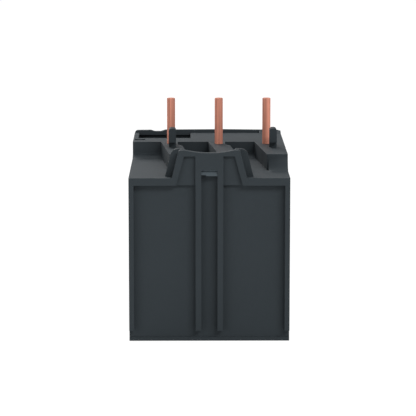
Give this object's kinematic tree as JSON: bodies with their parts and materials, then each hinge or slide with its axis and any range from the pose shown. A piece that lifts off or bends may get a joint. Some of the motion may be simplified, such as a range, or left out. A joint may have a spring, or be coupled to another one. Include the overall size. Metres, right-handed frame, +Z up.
{
  "type": "thermal overload relay",
  "caption": "Plug-in thermal overload relay with bare line pins, ribbed rear cover, screw terminals, setting dial, push buttons and an inner bimetal tripping mechanism.",
  "frame": {"origin": "on the base, under the middle of the bounding box", "axes": "+Z up towards the contactor, +Y towards the ribbed rear cover, -Y towards the dial and terminals"},
  "size_m": [0.045, 0.07, 0.0646],
  "materials": {
    "case_plastic": "fine moulded grain",
    "copper": "bare drawn copper",
    "screw_steel": "zinc plated",
    "plated_steel": "nickel plated",
    "spring_steel": "spring wire",
    "contact_brass": "stamped strip",
    "bimetal": "rolled bimetal",
    "heater_ribbon": "resistance ribbon",
    "sleeve_glass_fibre": "woven glass sleeve",
    "clear_plastic": "clear polycarbonate",
    "dial_plastic": "smooth",
    "reset_blue": "smooth",
    "stop_red": "smooth",
    "test_grey": "smooth",
    "flag_yellow": "smooth",
    "mechanism_plastic": "unfilled nylon"
  },
  "bodies": {
    "housing": {"main_housing": "case_plastic", "rear_cover": "case_plastic", "front_cover": "case_plastic", "mechanism_plate": "mechanism_plastic", "main_terminal_block": "case_plastic", "aux_terminal_block": "case_plastic", "sealing_cover_pin": "plated_steel", "load_plate_1": "contact_brass", "load_plate_2": "contact_brass", "load_plate_3": "contact_brass", "line_pin_1": "copper", "line_pin_2": "copper", "line_pin_3": "copper", "contact_plate_1": "contact_brass", "contact_plate_2": "contact_brass", "contact_plate_3": "contact_brass", "contact_plate_4": "contact_brass", "compensation_lever_pin": "plated_steel", "adjusting_lever_pin": "plated_steel", "contact_rocker_pin": "plated_steel", "reset_spring": "spring_steel", "stop_spring": "spring_steel"},
    "sealing_cover": {"sealing_cover": "clear_plastic"},
    "setting_dial": {"setting_dial": "dial_plastic"},
    "adjusting_lever": {"adjusting_lever": "mechanism_plastic"},
    "reset_button": {"reset_button": "reset_blue"},
    "stop_button": {"stop_button": "stop_red"},
    "test_button": {"test_button": "test_grey"},
    "mode_selector": {"mode_selector": "reset_blue"},
    "trip_indicator": {"trip_indicator": "flag_yellow"},
    "main_slider": {"main_slider": "mechanism_plastic"},
    "differential_slider": {"differential_slider": "mechanism_plastic"},
    "compensation_lever": {"compensation_lever": "mechanism_plastic"},
    "contact_rocker": {"contact_rocker": "mechanism_plastic", "closed_bridge": "contact_brass", "open_bridge": "contact_brass"},
    "pole_1": {"bimetal_strip_1": "bimetal", "heater_sleeve_1": "sleeve_glass_fibre", "heater_winding_1": "heater_ribbon"},
    "main_screw_1": {"main_screw_1": "screw_steel"},
    "main_cage_1": {"main_cage_1": "plated_steel"},
    "pole_2": {"bimetal_strip_2": "bimetal", "heater_sleeve_2": "sleeve_glass_fibre", "heater_winding_2": "heater_ribbon"},
    "main_screw_2": {"main_screw_2": "screw_steel"},
    "main_cage_2": {"main_cage_2": "plated_steel"},
    "pole_3": {"bimetal_strip_3": "bimetal", "heater_sleeve_3": "sleeve_glass_fibre", "heater_winding_3": "heater_ribbon"},
    "main_screw_3": {"main_screw_3": "screw_steel"},
    "main_cage_3": {"main_cage_3": "plated_steel"},
    "aux_clamp_1": {"aux_clamp_1": "plated_steel"},
    "aux_screw_1": {"aux_screw_1": "screw_steel"},
    "aux_clamp_2": {"aux_clamp_2": "plated_steel"},
    "aux_screw_2": {"aux_screw_2": "screw_steel"},
    "aux_clamp_3": {"aux_clamp_3": "plated_steel"},
    "aux_screw_3": {"aux_screw_3": "screw_steel"},
    "aux_clamp_4": {"aux_clamp_4": "plated_steel"},
    "aux_screw_4": {"aux_screw_4": "screw_steel"}
  },
  "joints": [
    {"name": "sealing_cover_hinge", "type": "hinge", "parent": "housing", "child": "sealing_cover", "pos_m": [-0.0091, -0.03385, 0.0323], "axis": [1, 0, 0], "range_deg": [0, 100]},
    {"name": "setting_dial_turn", "type": "hinge", "parent": "housing", "child": "setting_dial", "pos_m": [-0.0123, -0.03, 0.04095], "axis": [0, 1, 0], "range_deg": [0, 270]},
    {"name": "adjusting_lever_pivot", "type": "hinge", "parent": "housing", "child": "adjusting_lever", "pos_m": [-0.0184, -0.0176, 0.04095], "axis": [0, 0, 1], "range_deg": [0, 12.1]},
    {"name": "reset_button_push", "type": "slide", "parent": "housing", "child": "reset_button", "axis": [0, 1, 0], "range_m": [0, 0.0022], "stiffness_N_per_m": 250, "springref_m": -0.002, "deforming": ["reset_spring"]},
    {"name": "stop_button_push", "type": "slide", "parent": "housing", "child": "stop_button", "axis": [0, 1, 0], "range_m": [0, 0.0022], "stiffness_N_per_m": 250, "springref_m": -0.002, "deforming": ["stop_spring"]},
    {"name": "test_button_push", "type": "slide", "parent": "housing", "child": "test_button", "axis": [0, 1, 0], "range_m": [0, 0.0015], "stiffness_N_per_m": 250, "springref_m": -0.002},
    {"name": "mode_selector_turn", "type": "hinge", "parent": "housing", "child": "mode_selector", "pos_m": [0.0162, -0.033, 0.034], "axis": [0, 1, 0], "range_deg": [0, 90]},
    {"name": "main_slider_slide", "type": "slide", "parent": "housing", "child": "main_slider", "axis": [1, 0, 0], "range_m": [0, 0.0022]},
    {"name": "differential_slider_slide", "type": "slide", "parent": "housing", "child": "differential_slider", "axis": [1, 0, 0], "range_m": [0, 0.0022]},
    {"name": "bimetal_1_bend", "type": "hinge", "parent": "housing", "child": "pole_1", "pos_m": [-0.0143, 0.021, 0.013], "axis": [0, 1, 0], "range_deg": [0, 5.1]},
    {"name": "bimetal_2_bend", "type": "hinge", "parent": "housing", "child": "pole_2", "pos_m": [0, 0.021, 0.013], "axis": [0, 1, 0], "range_deg": [0, 5.1]},
    {"name": "bimetal_3_bend", "type": "hinge", "parent": "housing", "child": "pole_3", "pos_m": [0.0143, 0.021, 0.013], "axis": [0, 1, 0], "range_deg": [0, 5.1]},
    {"name": "compensation_lever_pivot", "type": "hinge", "parent": "housing", "child": "compensation_lever", "pos_m": [0.0176, -0.014, 0.036], "axis": [0, 0, -1], "range_deg": [0, 10.4]},
    {"name": "contact_rocker_pivot", "type": "hinge", "parent": "housing", "child": "contact_rocker", "pos_m": [0, -0.0053, 0.024], "axis": [0, 0, -1], "range_deg": [0, 5.7]},
    {"name": "trip_indicator_slide", "type": "slide", "parent": "housing", "child": "trip_indicator", "axis": [1, 0, 0], "range_m": [0, 0.0029]},
    {"name": "main_screw_1_turn", "type": "hinge", "parent": "housing", "child": "main_screw_1", "pos_m": [-0.0143, -0.02, 0.0066], "axis": [0, 1, 0], "range_deg": [0, 1240]},
    {"name": "main_cage_1_rise", "type": "slide", "parent": "housing", "child": "main_cage_1", "axis": [0, -1, 0], "range_m": [0, 0.0024]},
    {"name": "main_screw_2_turn", "type": "hinge", "parent": "housing", "child": "main_screw_2", "pos_m": [0, -0.02, 0.0066], "axis": [0, 1, 0], "range_deg": [0, 1240]},
    {"name": "main_cage_2_rise", "type": "slide", "parent": "housing", "child": "main_cage_2", "axis": [0, -1, 0], "range_m": [0, 0.0024]},
    {"name": "main_screw_3_turn", "type": "hinge", "parent": "housing", "child": "main_screw_3", "pos_m": [0.0143, -0.02, 0.0066], "axis": [0, 1, 0], "range_deg": [0, 1240]},
    {"name": "main_cage_3_rise", "type": "slide", "parent": "housing", "child": "main_cage_3", "axis": [0, -1, 0], "range_m": [0, 0.0024]},
    {"name": "aux_clamp_1_press", "type": "slide", "parent": "housing", "child": "aux_clamp_1", "axis": [0, 1, 0], "range_m": [0, 0.0015]},
    {"name": "aux_screw_1_turn", "type": "hinge", "parent": "aux_clamp_1", "child": "aux_screw_1", "pos_m": [-0.0165, -0.026, 0.024], "axis": [0, 1, 0], "range_deg": [0, 905]},
    {"name": "aux_clamp_2_press", "type": "slide", "parent": "housing", "child": "aux_clamp_2", "axis": [0, 1, 0], "range_m": [0, 0.0015]},
    {"name": "aux_screw_2_turn", "type": "hinge", "parent": "aux_clamp_2", "child": "aux_screw_2", "pos_m": [-0.0055, -0.026, 0.024], "axis": [0, 1, 0], "range_deg": [0, 905]},
    {"name": "aux_clamp_3_press", "type": "slide", "parent": "housing", "child": "aux_clamp_3", "axis": [0, 1, 0], "range_m": [0, 0.0015]},
    {"name": "aux_screw_3_turn", "type": "hinge", "parent": "aux_clamp_3", "child": "aux_screw_3", "pos_m": [0.0055, -0.026, 0.024], "axis": [0, 1, 0], "range_deg": [0, 905]},
    {"name": "aux_clamp_4_press", "type": "slide", "parent": "housing", "child": "aux_clamp_4", "axis": [0, 1, 0], "range_m": [0, 0.0015]},
    {"name": "aux_screw_4_turn", "type": "hinge", "parent": "aux_clamp_4", "child": "aux_screw_4", "pos_m": [0.0165, -0.026, 0.024], "axis": [0, 1, 0], "range_deg": [0, 905]}
  ],
  "couplings": [
    {"joint": "adjusting_lever_pivot", "follows": "setting_dial_turn", "ratio": 0.044444},
    {"joint": "differential_slider_slide", "follows": "main_slider_slide", "ratio": 1},
    {"joint": "bimetal_1_bend", "follows": "main_slider_slide", "rad_per_m": 39.68},
    {"joint": "bimetal_2_bend", "follows": "main_slider_slide", "rad_per_m": 39.68},
    {"joint": "bimetal_3_bend", "follows": "main_slider_slide", "rad_per_m": 39.68},
    {"joint": "compensation_lever_pivot", "follows": "main_slider_slide", "rad_per_m": 80.9},
    {"joint": "contact_rocker_pivot", "follows": "main_slider_slide", "rad_per_m": 44.4},
    {"joint": "trip_indicator_slide", "follows": "main_slider_slide", "ratio": 1.2727},
    {"joint": "main_screw_1_turn", "follows": "main_cage_1_rise", "rad_per_m": 8976},
    {"joint": "main_screw_2_turn", "follows": "main_cage_2_rise", "rad_per_m": 8976},
    {"joint": "main_screw_3_turn", "follows": "main_cage_3_rise", "rad_per_m": 8976},
    {"joint": "aux_screw_1_turn", "follows": "aux_clamp_1_press", "rad_per_m": 10472},
    {"joint": "aux_screw_2_turn", "follows": "aux_clamp_2_press", "rad_per_m": 10472},
    {"joint": "aux_screw_3_turn", "follows": "aux_clamp_3_press", "rad_per_m": 10472},
    {"joint": "aux_screw_4_turn", "follows": "aux_clamp_4_press", "rad_per_m": 10472}
  ]
}
